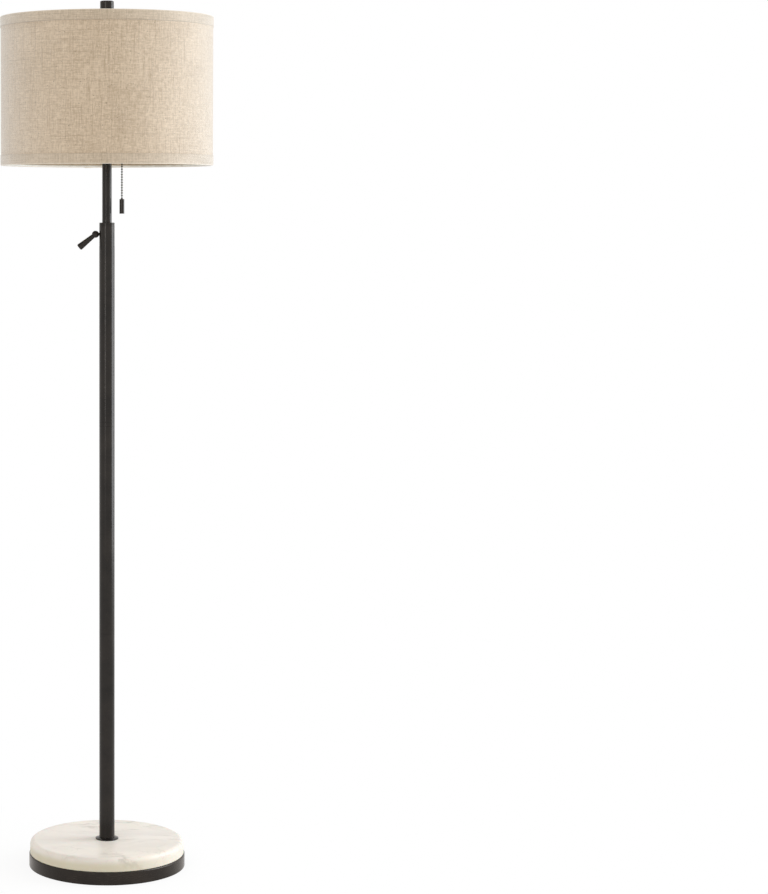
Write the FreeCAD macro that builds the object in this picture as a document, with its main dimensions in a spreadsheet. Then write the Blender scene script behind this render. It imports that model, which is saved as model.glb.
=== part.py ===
import FreeCAD, Part
import os
import Sketcher
from math import cos, radians, sin, tan
from types import SimpleNamespace

# Telescopic floor lamp: a round two-layer foot, a three-piece outer pole with a clamp collar, a sliding
# inner tube, and a drum shade held on a harp above a pull-chain socket. Millimetres, +Z up. The origin is
# on the floor under the pole's axis. The clamp lever points to -X and the pull chain hangs at +X.

sizes = {
    # foot, from the floor up
    "pad_inset": 2.0,
    "pad_thickness": 2.0,
    "pan_dia": 264.0,
    "pan_height": 22.2,
    "pan_wall": 1.2,
    "pan_rim_gap": 0.8,
    "pan_round": 2.0,
    "weight_gap": 0.5,
    "well_dia": 44.0,
    "well_room": 1.3,
    "channel_room": 1.0,
    "inlet_bore": 6.4,
    "inlet_neck": 9.6,
    "inlet_gap": 0.1,
    "inlet_round": 0.6,
    "inlet_rim_dia": 13.0,
    "inlet_rim": 1.5,
    "inlet_tail": 2.6,
    "marble_inset": 1.5,
    "marble_thickness": 22.3,
    "marble_round": 8.0,
    "marble_base_round": 0.8,
    "flange_step": 2.0,
    "flange_slope": 4.5,
    "flange_edge": 1.6,
    "flange_height": 3.0,
    "flange_round": 0.7,
    # the hollow stud that pulls the foot together
    "stud_dia": 10.0,
    "stud_bore": 6.5,
    "stud_tail": 1.2,
    "stud_grip": 20.0,
    "stud_gap": 0.3,
    "nut_across": 16.0,
    "nut_height": 5.0,
    "spring_washer_dia": 17.0,
    "spring_washer_height": 1.5,
    "spring_washer_slit": 1.2,
    "washer_inset": 6.0,
    "washer_height": 2.0,
    # outer pole
    "pole_dia": 26.0,
    "pole_wall": 1.2,
    "lower_tube_length": 349.0,
    "middle_tube_length": 345.0,
    "upper_tube_length": 294.5,
    "plug_length": 25.0,
    "coupler_band": 7.0,
    "coupler_spigot": 16.0,
    "coupler_bore": 14.0,
    "seam_chamfer": 0.25,
    "push_fit": 0.02,
    # clamp collar
    "collar_inset": 0.15,
    "collar_height": 40.0,
    "collar_spigot": 12.0,
    "collar_relief": 1.0,
    "collar_chamfer": 0.6,
    "first_line_drop": 2.7,
    "second_line_drop": 5.6,
    "line_depth": 0.25,
    "upper_bush_wall": 2.5,
    "upper_bush_length": 11.0,
    "upper_bush_recess": 0.6,
    "lower_bush_wall": 2.0,
    "lower_bush_length": 12.0,
    # clamp screw and lever
    "screw_drop": 19.5,
    "screw_dia": 5.0,
    "screw_tip_gap": 0.05,
    "pad_length": 2.4,
    "ball_dia": 12.2,
    "ball_gap": 0.35,
    "ball_slot": 3.2,
    "ball_slot_back": 3.1,
    "pin_dia": 2.4,
    "pin_head_rim": 0.5,
    "pin_head_height": 0.8,
    "pin_head_round": 0.6,
    "pin_seat_depth": 0.5,
    "lever_droop": 39.0,
    "lever_length": 35.6,
    "lever_neck_dia": 7.7,
    "lever_end_dia": 11.6,
    "lever_round": 2.2,
    "tongue_width": 5.4,
    "tongue_gap": 0.2,
    "lever_gap": 0.3,
    # sliding inner tube
    "inner_dia": 16.0,
    "inner_wall": 1.2,
    "inner_length": 439.3,
    "running_gap": 0.06,
    "stop_gap": 0.3,
    "foot_bush_length": 16.0,
    "foot_bush_ledge": 3.0,
    "foot_bush_lip": 0.8,
    "snap_height": 6.0,
    "snap_width": 2.0,
    "snap_depth": 0.4,
    # neck, harp saddle and socket
    "neck_spigot": 12.0,
    "neck_shoulder": 4.0,
    "nipple_dia": 10.0,
    "nipple_bore": 6.5,
    "nipple_grip": 10.0,
    "nipple_rise": 5.0,
    "saddle_thickness": 1.6,
    "saddle_width": 12.0,
    "saddle_span": 60.0,
    "tab_width": 8.0,
    "tab_height": 14.0,
    "thin_nut_across": 16.0,
    "thin_nut_height": 3.0,
    "cup_dia": 35.8,
    "cup_foot_dia": 24.0,
    "cup_height": 16.0,
    "cup_slope": 8.0,
    "cup_wall": 0.8,
    "shell_overlap": 5.0,
    "shell_length": 54.0,
    "shell_wall": 0.6,
    "switch_gap": 1.48,
    "switch_height": 30.0,
    "switch_lift": 12.0,
    "terminal_flat": 1.4,
    "terminal_margin": 2.0,
    "terminal_head_dia": 6.0,
    "terminal_head": 1.2,
    "terminal_shank_dia": 3.0,
    "terminal_shank": 5.0,
    "liner_wall": 0.7,
    "liner_gap": 0.1,
    "liner_length": 22.0,
    "screw_shell_gap": 0.4,
    "screw_shell_wall": 0.5,
    "screw_shell_height": 21.0,
    "screw_shell_floor_hole": 12.0,
    "contact_dia": 6.0,
    "contact_height": 1.6,
    "contact_chamfer": 1.0,
    # bulb
    "cap_dia": 26.0,
    "cap_wall": 0.5,
    "cap_height": 23.0,
    "cap_floor_hole": 15.0,
    "cap_chamfer": 1.0,
    "tip_dia": 9.0,
    "tip_drop": 1.8,
    "globe_dia": 60.0,
    "globe_wall": 0.8,
    "globe_rise": 85.0,
    "globe_seat": 4.0,
    "globe_shoulder_angle": 25.0,
    # pull chain
    "spout_height": 22.0,
    "spout_room": 0.6,
    "spout_wall": 0.8,
    "spout_bend": 7.0,
    "spout_inset": 3.0,
    "spout_drop": 10.0,
    "chain_clear": 7.92,
    "bead_dia": 3.2,
    "link_length": 1.2,
    "link_dia": 0.9,
    "chain_bead_count": 25,
    "stub_bead_count": 3,
    "pivot_rise": 1.0,
    "chain_gap": 0.1,
    "pull_dia": 8.2,
    "pull_length": 24.5,
    "pull_round": 1.2,
    "pull_bore_room": 0.8,
    "pull_hole_room": 0.55,
    "pull_seat_depth": 0.3,
    # harp
    "harp_wire": 3.4,
    "harp_foot_lift": 3.0,
    "harp_height": 198.4,
    "harp_leg": 41.0,
    "harp_width": 112.0,
    "harp_swell": 91.0,
    "harp_straight": 68.0,
    "harp_top": 64.0,
    "harp_bend": 26.0,
    "sleeve_wall": 0.8,
    "sleeve_height": 12.0,
    "sleeve_gap": 0.3,
    "crown_dia": 12.0,
    "crown_skirt": 2.8,
    "crown_top": 1.2,
    "harp_stud_dia": 6.2,
    "harp_stud_rise": 12.0,
    # shade and finial
    "hub_rim": 2.5,
    "hub_thickness": 1.6,
    "hub_drop": 7.0,
    "arm_count": 3,
    "arm_dia": 3.0,
    "shade_dia": 355.6,
    "shade_height": 246.0,
    "trim_thickness": 0.75,
    "trim_height": 17.0,
    "fold_thickness": 0.6,
    "fold_height": 9.0,
    "linen_thickness": 0.6,
    "lining_thickness": 0.8,
    "glue_gap": 0.02,
    "ring_wire": 3.0,
    "ring_inset": 2.5,
    "finial_dia": 23.0,
    "finial_height": 34.5,
    "finial_chamfer": 1.3,
    "finial_bore_room": 3.0,
    "thread_gap": 0.1,
}

doc = FreeCAD.newDocument("TelescopicFloorLamp")
sheet = doc.addObject("Spreadsheet::Sheet", "Sizes")
for row, (name, value) in enumerate(sizes.items(), start=1):
    sheet.set(f"A{row}", name)
    sheet.set(f"B{row}", str(value))
    sheet.setAlias(f"B{row}", name)
doc.recompute()


class Size:
    """A length with its number and the sheet expression that gives it."""

    def __init__(self, number, text):
        self.number = float(number)
        self.text = text

    def __float__(self):
        return self.number

    def __int__(self):
        return int(self.number)

    def __add__(self, other):
        return Size(self.number + float(other), f"({self.text} + {text_of(other)})")

    def __radd__(self, other):
        return Size(float(other) + self.number, f"({text_of(other)} + {self.text})")

    def __sub__(self, other):
        return Size(self.number - float(other), f"({self.text} - {text_of(other)})")

    def __rsub__(self, other):
        return Size(float(other) - self.number, f"({text_of(other)} - {self.text})")

    def __mul__(self, factor):
        return Size(self.number * float(factor), f"{self.text} * {text_of(factor)}")

    def __truediv__(self, factor):
        return Size(self.number / float(factor), f"{self.text} / {text_of(factor)}")

    def __neg__(self):
        return Size(-self.number, f"(0 - {self.text})")


def text_of(value):
    return value.text if isinstance(value, Size) else str(float(value))


s = SimpleNamespace(**{name: Size(value, "Sizes." + name) for name, value in sizes.items()})
pieces = []


def bind(thing, path, value):
    if isinstance(value, Size):
        thing.setExpression(path, value.text)


def place(thing, at=(0, 0, 0), axis=(0, 0, 1), angle=0):
    position = FreeCAD.Vector(*[float(value) for value in at])
    turn = FreeCAD.Rotation(FreeCAD.Vector(*axis), float(angle))
    thing.Placement = FreeCAD.Placement(position, turn)
    for letter, value in zip("xyz", at):
        bind(thing, "Placement.Base." + letter, value)
    bind(thing, "Placement.Rotation.Angle", angle)
    return thing


def piece(thing):
    pieces.append(thing)
    return thing


# ---- turned bodies: a closed outline of (radius, height) points, spun about the local Z axis ----


def turned(label, outline, at=(0, 0, 0), axis=(0, 0, 1), angle=0):
    body = doc.addObject("PartDesign::Body", label)
    body.Label = label
    plane = next(item for item in body.Origin.OriginFeatures if item.Role == "XZ_Plane")
    sketch = body.newObject("Sketcher::SketchObject", label + "_outline")
    sketch.AttachmentSupport = [(plane, "")]
    sketch.MapMode = "FlatFace"
    corners = [FreeCAD.Vector(float(radius), float(height), 0) for radius, height in outline]
    count = len(corners)
    for index in range(count):
        sketch.addGeometry(Part.LineSegment(corners[index], corners[(index + 1) % count]))
    for index in range(count):
        sketch.addConstraint(Sketcher.Constraint("Coincident", index, 2, (index + 1) % count, 1))
    for index, (radius, height) in enumerate(outline):
        for kind, value in (("DistanceX", radius), ("DistanceY", height)):
            number = sketch.addConstraint(Sketcher.Constraint(kind, -1, 1, index, 1, float(value)))
            bind(sketch, f"Constraints[{number}]", value)
    spin = body.newObject("PartDesign::Revolution", label + "_spin")
    spin.Profile = sketch
    spin.ReferenceAxis = (sketch, ["V_Axis"])
    spin.Angle = 360
    place(body, at, axis, angle)
    doc.recompute()
    return body


def ring_edges(shape, radius, height):
    found = []
    for number, edge in enumerate(shape.Edges, start=1):
        if not isinstance(edge.Curve, Part.Circle):
            continue
        off = abs(edge.Curve.Radius - float(radius)) + abs(edge.Curve.Center.z - float(height))
        if off < 0.001:
            found.append(f"Edge{number}")
    return found


def eased(body, kind, amount, rings):
    # rings holds (radius, height) pairs in the body's own frame; kind is Fillet or Chamfer
    tip = body.Tip
    names = [name for radius, height in rings for name in ring_edges(tip.Shape, radius, height)]
    easing = body.newObject("PartDesign::" + kind, f"{body.Name}_{kind.lower()}")
    easing.Base = (tip, names)
    field = "Radius" if kind == "Fillet" else "Size"
    setattr(easing, field, float(amount))
    bind(easing, field, amount)
    doc.recompute()
    return body


def pipe(label, outer, bore, length, at=(0, 0, 0), axis=(0, 0, 1), angle=0):
    outline = [(bore / 2, 0), (outer / 2, 0), (outer / 2, length), (bore / 2, length)]
    return turned(label, outline, at, axis, angle)


# ---- primitives and booleans ----


def cylinder(label, dia, length, at=(0, 0, 0), axis=(0, 0, 1), angle=0):
    thing = doc.addObject("Part::Cylinder", label)
    thing.Radius = float(dia) / 2
    bind(thing, "Radius", dia / 2)
    thing.Height = float(length)
    bind(thing, "Height", length)
    return place(thing, at, axis, angle)


def sphere(label, dia, at=(0, 0, 0)):
    thing = doc.addObject("Part::Sphere", label)
    thing.Radius = float(dia) / 2
    bind(thing, "Radius", dia / 2)
    return place(thing, at)


def block(label, length, width, height, at=(0, 0, 0), axis=(0, 0, 1), angle=0):
    thing = doc.addObject("Part::Box", label)
    for field, value in (("Length", length), ("Width", width), ("Height", height)):
        setattr(thing, field, float(value))
        bind(thing, field, value)
    return place(thing, at, axis, angle)


def cut(label, base, *tools):
    for number, tool in enumerate(tools, start=1):
        last = number == len(tools)
        thing = doc.addObject("Part::Cut", label if last else f"{label}_cut_{number}")
        thing.Base = base
        thing.Tool = tool
        base = thing
    base.Label = label
    return base


def fused(label, *shapes):
    thing = doc.addObject("Part::MultiFuse", label)
    thing.Shapes = list(shapes)
    thing.Refine = True
    thing.Label = label
    return thing


def grouped(label, *shapes):
    thing = doc.addObject("Part::Compound", label)
    thing.Links = list(shapes)
    thing.Label = label
    return thing


def solid_feature(label, shape, at=(0, 0, 0)):
    thing = doc.addObject("Part::Feature", label)
    thing.Shape = shape
    thing.Label = label
    return place(thing, at)


def hexagon_nut(label, across, height, bore, at):
    blank = doc.addObject("Part::Prism", label + "_blank")
    blank.Polygon = 6
    blank.Circumradius = float(across) / 2 / cos(radians(30))
    bind(blank, "Circumradius", across / 2 / cos(radians(30)))
    blank.Height = float(height)
    bind(blank, "Height", height)
    place(blank, at)
    hole = cylinder(label + "_hole", bore, height + past * 2, (at[0], at[1], at[2] - past))
    return cut(label, blank, hole)


# ---- heights, from the floor ----

weight_foot = s.pad_thickness
weight_top = s.pan_height - s.pan_wall
well_roof = weight_foot + s.well_room + s.stud_tail + s.nut_height
well_roof += s.spring_washer_height + s.washer_height
inlet_height = s.pan_height / 2
marble_top = s.pan_height + s.marble_thickness
pole_foot = marble_top + s.flange_height
lower_band = pole_foot + s.lower_tube_length
middle_foot = lower_band + s.coupler_band
upper_band = middle_foot + s.middle_tube_length
upper_foot = upper_band + s.coupler_band
collar_foot = upper_foot + s.upper_tube_length
collar_top = collar_foot + s.collar_height
bush_foot = upper_foot + s.coupler_spigot + s.stop_gap
inner_foot = bush_foot + s.foot_bush_ledge
inner_top = inner_foot + s.inner_length
neck_top = inner_top + s.neck_shoulder
saddle_top = neck_top + s.saddle_thickness
cup_foot = saddle_top + s.thin_nut_height
shell_foot = cup_foot + s.cup_height - s.shell_overlap
switch_foot = cup_foot + s.switch_lift
switch_top = switch_foot + s.switch_height
spout_axis = switch_foot + s.spout_height
spout_mouth = spout_axis - s.spout_bend - s.spout_drop
chain_pivot = spout_mouth + s.pivot_rise
bead_pitch = s.bead_dia + s.link_length
stub_top = chain_pivot + bead_pitch * (s.stub_bead_count - 1)
pull_pivot = chain_pivot - bead_pitch * s.chain_bead_count
pull_top = pull_pivot - s.bead_dia / 2 + s.pull_seat_depth
harp_foot = neck_top + s.harp_foot_lift
harp_crest = harp_foot + s.harp_height
crown_roof = harp_crest + s.harp_wire / 2 + s.crown_top
hub_top = crown_roof + s.hub_thickness
shade_top = hub_top + s.hub_drop
shade_foot = shade_top - s.shade_height

clamp_height = collar_top - s.screw_drop
terminal_height = switch_foot + s.switch_height / 2
tip_foot = switch_top + s.contact_height + s.glue_gap
cap_foot = tip_foot + s.tip_drop

# ---- diameters and reaches that fit other pieces ----

past = 1.0  # how far a cutting shape runs past the face that it cuts
fit = s.push_fit * 2
running = s.running_gap * 2
stud_hole = s.stud_dia + s.stud_gap
stud_thread = s.stud_dia + fit
nipple_thread = s.nipple_dia + fit
pole_bore = s.pole_dia - s.pole_wall * 2
spigot_dia = pole_bore - fit
inner_bore = s.inner_dia - s.inner_wall * 2
slide_bore = s.inner_dia + running
collar_dia = s.pole_dia - s.collar_inset * 2
collar_bore = s.inner_dia + s.collar_relief * 2
upper_seat_dia = s.inner_dia + s.upper_bush_wall * 2
lower_seat_dia = s.inner_dia + s.lower_bush_wall * 2
ball_reach = (collar_dia + s.ball_dia) / 2 + s.ball_gap
pin_head_dia = s.pin_dia + s.pin_head_rim * 2
inlet_hole = s.inlet_neck + s.inlet_gap * 2
shell_dia = s.cup_dia - s.cup_wall * 2 - fit
shell_bore = shell_dia - s.shell_wall * 2
switch_dia = shell_bore - s.switch_gap * 2
spout_bore = s.bead_dia + s.spout_room * 2
spout_dia = spout_bore + s.spout_wall * 2
spout_start = switch_dia / 2 - s.spout_inset
chain_reach = shell_dia / 2 + s.chain_clear
hub_dia = s.finial_dia + s.hub_rim * 2
harp_leg_reach = s.saddle_span / 2 + s.push_fit + s.harp_wire / 2
panel_dia = s.shade_dia - s.trim_thickness * 2 - s.glue_gap * 2
lining_dia = panel_dia - s.linen_thickness * 2 - s.glue_gap * 2
fold_dia = lining_dia - s.lining_thickness * 2 - s.glue_gap * 2
ring_dia = fold_dia - s.fold_thickness * 2 - s.glue_gap * 2 - s.ring_wire
neck_dia = s.cap_dia - s.cap_wall * 2 - s.glue_gap * 2


# ---- foot ----


def base_pad():
    edge = s.pan_dia / 2 - s.pad_inset
    outline = [(0, 0), (edge, 0), (edge, s.pad_thickness), (0, s.pad_thickness)]
    return turned("base_pad", outline)


def base_pan():
    outer = s.pan_dia / 2
    inner = outer - s.pan_wall
    outline = [
        (stud_hole / 2, weight_top),
        (inner, weight_top),
        (inner, s.pan_rim_gap),
        (outer, s.pan_rim_gap),
        (outer, s.pan_height),
        (stud_hole / 2, s.pan_height),
    ]
    pressed = turned("pan_pressing", outline)
    eased(pressed, "Fillet", s.pan_round, [(outer, s.pan_height)])
    hole = cylinder("pan_inlet", inlet_hole, s.pan_dia, (0, 0, inlet_height), (1, 0, 0), -90)
    return cut("base_pan", pressed, hole)


def base_weight():
    edge = s.pan_dia / 2 - s.pan_wall - s.weight_gap
    outline = [
        (s.well_dia / 2, weight_foot),
        (edge, weight_foot),
        (edge, weight_top),
        (stud_hole / 2, weight_top),
        (stud_hole / 2, well_roof),
        (s.well_dia / 2, well_roof),
    ]
    cast = turned("weight_casting", outline)
    # the lead's channel starts inside the well's edge, so that the two run together
    width = s.inlet_rim_dia + s.channel_room * 2
    roof = inlet_height + width / 2
    corner = (-width / 2, (s.well_dia - width) / 2, weight_foot - past)
    channel = block("weight_channel", width, s.pan_dia / 2, roof - weight_foot + past, corner)
    return cut("base_weight", cast, channel)


def cord_grommet():
    # local Z runs outwards through the pan's wall, from its outer face
    neck_foot = -s.pan_wall - s.inlet_gap * 2
    outline = [
        (s.inlet_bore / 2, neck_foot - s.inlet_tail),
        (s.inlet_rim_dia / 2, neck_foot - s.inlet_tail),
        (s.inlet_rim_dia / 2, neck_foot),
        (s.inlet_neck / 2, neck_foot),
        (s.inlet_neck / 2, 0),
        (s.inlet_rim_dia / 2, 0),
        (s.inlet_rim_dia / 2, s.inlet_rim),
        (s.inlet_bore / 2, s.inlet_rim),
    ]
    grommet = turned("cord_grommet", outline, (0, s.pan_dia / 2, inlet_height), (1, 0, 0), -90)
    return eased(grommet, "Fillet", s.inlet_round, [(s.inlet_rim_dia / 2, s.inlet_rim)])


def marble_disc():
    edge = s.pan_dia / 2 - s.marble_inset
    disc = pipe("marble_disc", edge * 2, stud_hole, s.marble_thickness, (0, 0, s.pan_height))
    eased(disc, "Fillet", s.marble_round, [(edge, s.marble_thickness)])
    return eased(disc, "Fillet", s.marble_base_round, [(edge, 0)])


def foot_flange():
    crown = s.pole_dia / 2 + s.flange_step
    edge = crown + s.flange_slope
    outline = [
        (stud_hole / 2, 0),
        (edge, 0),
        (edge, s.flange_edge),
        (crown, s.flange_height),
        (stud_hole / 2, s.flange_height),
    ]
    flange = turned("foot_flange", outline, (0, 0, marble_top))
    return eased(flange, "Fillet", s.flange_round, [(edge, s.flange_edge)])


def foot_fastening():
    washer_foot = well_roof - s.washer_height
    spring_foot = washer_foot - s.spring_washer_height
    nut_foot = spring_foot - s.nut_height
    stud_foot = nut_foot - s.stud_tail
    stud_length = pole_foot + s.stud_grip - stud_foot
    piece(pipe("mount_stud", s.stud_dia, s.stud_bore, stud_length, (0, 0, stud_foot)))
    washer_dia = s.well_dia - s.washer_inset * 2
    piece(pipe("base_washer", washer_dia, stud_hole, s.washer_height, (0, 0, washer_foot)))
    ring = pipe(
        "spring_washer_ring", s.spring_washer_dia, stud_hole, s.spring_washer_height, (0, 0, spring_foot)
    )
    corner = (0, -s.spring_washer_slit / 2, spring_foot - past)
    slit_height = s.spring_washer_height + past * 2
    slit = block("spring_washer_gap", s.spring_washer_dia, s.spring_washer_slit, slit_height, corner)
    piece(cut("spring_washer", ring, slit))
    piece(hexagon_nut("stud_nut", s.nut_across, s.nut_height, stud_thread, (0, 0, nut_foot)))


# ---- outer pole ----


def coupler(label, band_foot):
    spigot, band = spigot_dia / 2, s.pole_dia / 2
    low, high = s.coupler_spigot, s.coupler_spigot + s.coupler_band
    outline = [
        (s.coupler_bore / 2, 0),
        (spigot, 0),
        (spigot, low),
        (band, low),
        (band, high),
        (spigot, high),
        (spigot, high + s.coupler_spigot),
        (s.coupler_bore / 2, high + s.coupler_spigot),
    ]
    body = turned(label, outline, (0, 0, band_foot - s.coupler_spigot))
    return eased(body, "Chamfer", s.seam_chamfer, [(band, low), (band, high)])


def outer_pole():
    piece(pipe("foot_plug", spigot_dia, stud_thread, s.plug_length, (0, 0, pole_foot)))
    tubes = (
        ("lower_tube", s.lower_tube_length, pole_foot),
        ("middle_tube", s.middle_tube_length, middle_foot),
        ("upper_tube", s.upper_tube_length, upper_foot),
    )
    for label, length, foot in tubes:
        piece(pipe(label, s.pole_dia, pole_bore, length, (0, 0, foot)))
    piece(coupler("lower_coupler", lower_band))
    piece(coupler("upper_coupler", upper_band))


def clamp_collar():
    # local Z = 0 is the seam on the upper tube
    edge, spigot, bore = collar_dia / 2, spigot_dia / 2, collar_bore / 2
    upper_seat, lower_seat = upper_seat_dia / 2, lower_seat_dia / 2
    upper_step = s.collar_height - s.upper_bush_length
    lower_step = s.lower_bush_length - s.collar_spigot
    outline = [
        (lower_seat, -s.collar_spigot),
        (spigot, -s.collar_spigot),
        (spigot, 0),
        (edge, 0),
    ]
    for drop in (s.second_line_drop, s.first_line_drop):
        line = s.collar_height - drop
        outline += [(edge, line - s.line_depth), (edge - s.line_depth, line), (edge, line + s.line_depth)]
    outline += [
        (edge, s.collar_height),
        (upper_seat, s.collar_height),
        (upper_seat, upper_step),
        (bore, upper_step),
        (bore, lower_step),
        (lower_seat, lower_step),
    ]
    blank = turned("collar_turning", outline, (0, 0, collar_foot))
    eased(blank, "Chamfer", s.collar_chamfer, [(edge, s.collar_height)])
    tap_start = (0, 0, clamp_height)
    hole = cylinder("collar_screw_hole", s.screw_dia + running, collar_dia, tap_start, (0, 1, 0), -90)
    return cut("clamp_collar", blank, hole)


def guide_bushes():
    upper_length = s.upper_bush_length - s.upper_bush_recess
    upper_foot_height = collar_top - s.upper_bush_length
    upper_outer = upper_seat_dia - fit
    lower_outer = lower_seat_dia - fit
    upper_place = (0, 0, upper_foot_height)
    lower_place = (0, 0, collar_foot - s.collar_spigot)
    piece(pipe("upper_guide_bush", upper_outer, slide_bore, upper_length, upper_place))
    piece(pipe("lower_guide_bush", lower_outer, slide_bore, s.lower_bush_length, lower_place))


# ---- clamp screw and lever, on an axis that points to -X ----

ball_centre = (-ball_reach, 0, clamp_height)
pad_dia = s.screw_dia - s.running_gap
pad_back = slide_bore / 2 + s.pad_length


def clamp_pad():
    rod = cylinder("pad_rod", pad_dia, pad_back, (0, 0, clamp_height), (0, 1, 0), -90)
    hollow_foot = clamp_height - s.screw_dia
    hollow = cylinder("pad_hollow", slide_bore, s.screw_dia * 2, (0, 0, hollow_foot))
    return cut("clamp_pad", rod, hollow)


def clamp_screw():
    tip = pad_back + s.screw_tip_gap
    shank_length = ball_reach - tip
    shank = cylinder("screw_shank", s.screw_dia, shank_length, (-tip, 0, clamp_height), (0, 1, 0), -90)
    ball = sphere("screw_ball", s.ball_dia, ball_centre)
    blank = fused("screw_blank", shank, ball)
    slot_corner = (
        -ball_reach - s.ball_dia,
        -s.ball_slot / 2,
        clamp_height - s.ball_dia,
    )
    slot_length = s.ball_dia + s.ball_slot_back
    slot = block("screw_slot", slot_length, s.ball_slot, s.ball_dia * 2, slot_corner)
    hole_start = (-ball_reach, -s.ball_dia, clamp_height)
    hole = cylinder("screw_pin_hole", s.pin_dia + fit, s.ball_dia * 2, hole_start, (1, 0, 0), -90)
    seat_back = -s.ball_dia / 2 + s.pin_seat_depth
    seat_start = (-ball_reach, seat_back, clamp_height)
    seat = cylinder("screw_pin_seat", pin_head_dia + fit, s.ball_dia, seat_start, (1, 0, 0), 90)
    return cut("clamp_screw", blank, slot, hole, seat)


def lever_pin():
    # local Z runs along +Y from the seat of the domed head
    radius, head = s.pin_dia / 2, pin_head_dia / 2
    reach = s.ball_dia - s.pin_seat_depth * 2
    outline = [
        (0, -s.pin_head_height),
        (head, -s.pin_head_height),
        (head, 0),
        (radius, 0),
        (radius, reach),
        (0, reach),
    ]
    seat = (-ball_reach, -s.ball_dia / 2 + s.pin_seat_depth, clamp_height)
    pin = turned("lever_pin", outline, seat, (1, 0, 0), -90)
    return eased(pin, "Fillet", s.pin_head_round, [(head, -s.pin_head_height)])


def lever_handle():
    # made along local Z from the ball's centre, then laid over so that it droops to -X
    neck = s.ball_dia / 2
    outline = [
        (0, neck - past),
        (s.lever_neck_dia / 2, neck - past),
        (s.lever_neck_dia / 2, neck + past),
        (s.lever_end_dia / 2, s.lever_length),
        (0, s.lever_length),
    ]
    grip = turned("lever_grip", outline)
    eased(grip, "Fillet", s.lever_round, [(s.lever_end_dia / 2, s.lever_length)])
    hollow = sphere("lever_hollow", s.ball_dia + s.lever_gap * 2)
    hollowed = cut("lever_hollowed_grip", grip, hollow)
    thickness = s.ball_slot - s.tongue_gap * 2
    tongue_corner = (-s.tongue_width / 2, -thickness / 2, 0)
    tongue = block("lever_tongue", s.tongue_width, thickness, neck + past * 2, tongue_corner)
    eye = cylinder("lever_eye", s.tongue_width, thickness, (0, -thickness / 2, 0), (1, 0, 0), -90)
    blank = fused("lever_blank", hollowed, tongue, eye)
    hole_start = (0, -s.ball_dia, 0)
    hole = cylinder("lever_pin_hole", s.pin_dia + running, s.ball_dia * 2, hole_start, (1, 0, 0), -90)
    handle = cut("lever_handle", blank, hole)
    return place(handle, ball_centre, (0, -1, 0), s.lever_droop + 90)


# ---- sliding inner tube ----


def foot_bush():
    outer = pole_bore / 2 - s.running_gap
    seat = slide_bore / 2
    rib_low = s.foot_bush_ledge + s.snap_height
    rib_high = rib_low + s.snap_width
    rib = seat - s.snap_depth
    hole = inner_bore / 2 - s.foot_bush_lip
    outline = [
        (hole, 0),
        (outer, 0),
        (outer, s.foot_bush_length),
        (seat, s.foot_bush_length),
        (seat, rib_high),
        (rib, rib_high),
        (rib, rib_low),
        (seat, rib_low),
        (seat, s.foot_bush_ledge - s.running_gap),
        (hole, s.foot_bush_ledge - s.running_gap),
    ]
    return turned("foot_bush", outline, (0, 0, bush_foot))


def inner_tube():
    outer, bore = s.inner_dia / 2, inner_bore / 2
    groove_low = s.snap_height - s.running_gap
    groove_high = s.snap_height + s.snap_width + s.running_gap
    groove = outer - s.snap_depth
    outline = [
        (bore, 0),
        (outer, 0),
        (outer, groove_low),
        (groove, groove_low),
        (groove, groove_high),
        (outer, groove_high),
        (outer, s.inner_length),
        (bore, s.inner_length),
    ]
    return turned("inner_tube", outline, (0, 0, inner_foot))


def neck_fitting():
    spigot = inner_bore / 2 - s.push_fit
    outline = [
        (nipple_thread / 2, -s.neck_spigot),
        (spigot, -s.neck_spigot),
        (spigot, 0),
        (s.inner_dia / 2, 0),
        (s.inner_dia / 2, s.neck_shoulder),
        (nipple_thread / 2, s.neck_shoulder),
    ]
    return turned("neck_fitting", outline, (0, 0, inner_top))


# ---- socket ----


def harp_saddle():
    half_width, half_span = s.saddle_width / 2, s.saddle_span / 2
    strip_corner = (-half_width, -half_span, neck_top)
    strip = block("saddle_strip", s.saddle_width, s.saddle_span, s.saddle_thickness, strip_corner)
    tabs = []
    for side, start in (("front", -half_span), ("rear", half_span - s.saddle_thickness)):
        corner = (-s.tab_width / 2, start, neck_top)
        tabs.append(block(f"saddle_{side}_tab", s.tab_width, s.saddle_thickness, s.tab_height, corner))
    bent = fused("saddle_blank", strip, *tabs)
    hole_length = s.saddle_thickness + past * 2
    hole = cylinder("saddle_hole", nipple_thread, hole_length, (0, 0, neck_top - past))
    return cut("harp_saddle", bent, hole)


def socket_nipple():
    foot = neck_top - s.nipple_grip
    length = cup_foot + s.nipple_rise - foot
    return pipe("socket_nipple", s.nipple_dia, s.nipple_bore, length, (0, 0, foot))


def socket_cup():
    hole, foot, edge, wall = nipple_thread / 2, s.cup_foot_dia / 2, s.cup_dia / 2, s.cup_wall
    outline = [
        (hole, 0),
        (foot, 0),
        (edge, s.cup_slope),
        (edge, s.cup_height),
        (edge - wall, s.cup_height),
        (edge - wall, s.cup_slope + wall / 2),
        (foot - wall / 2, wall),
        (hole, wall),
    ]
    cup = turned("socket_cup", outline, (0, 0, cup_foot))
    return eased(cup, "Fillet", wall * 2, [(foot, 0), (edge, s.cup_slope)])


def socket_shell():
    tube = pipe("shell_tube", shell_dia, shell_bore, s.shell_length, (0, 0, shell_foot))
    hole = cylinder("shell_spout_hole", spout_dia + fit, shell_dia, (0, 0, spout_axis), (0, 1, 0), 90)
    return cut("socket_shell", tube, hole)


def socket_liner():
    outer = shell_bore - s.liner_gap * 2
    return pipe("socket_liner", outer, outer - s.liner_wall * 2, s.liner_length, (0, 0, switch_top))


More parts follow.
